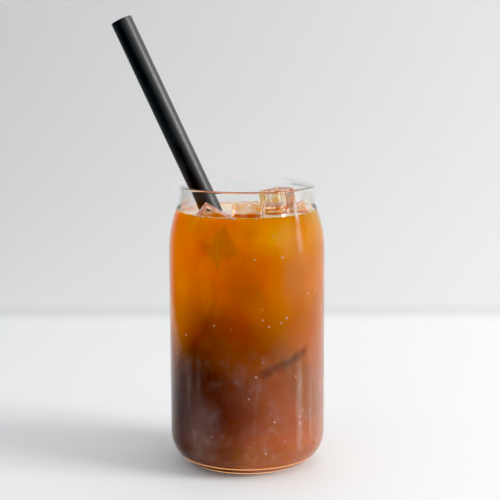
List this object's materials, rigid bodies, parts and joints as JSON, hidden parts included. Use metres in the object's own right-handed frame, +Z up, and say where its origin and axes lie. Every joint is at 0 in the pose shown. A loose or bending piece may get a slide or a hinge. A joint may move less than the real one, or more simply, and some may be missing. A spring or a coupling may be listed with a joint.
{
  "type": "iced coffee in a glass with a straw",
  "caption": "Can-shaped clear glass of amber iced coffee with melting ice cubes and a wide black straw leaning on its rim.",
  "frame": {"origin": "centre of the glass's flat base, on the glass's axis, at the height it stands on", "axes": "+Z up along the glass's axis; the straw leans towards -X and a little towards +Y; -Y faces the viewer of the picture"},
  "size_m": [0.1019, 0.075, 0.2158],
  "materials": {
    "clear_glass": "clear, smooth, misted with condensation outside",
    "coffee": "amber to red-brown liquid, still",
    "black_plastic": "matte",
    "ice": "wet, clear, melted edges"
  },
  "bodies": {
    "root": {"glass": "clear_glass", "coffee": "coffee", "straw": "black_plastic", "ice_front_left": "ice", "ice_middle": "ice", "ice_front_right": "ice", "ice_right": "ice", "ice_back_right": "ice"}
  },
  "joints": []
}
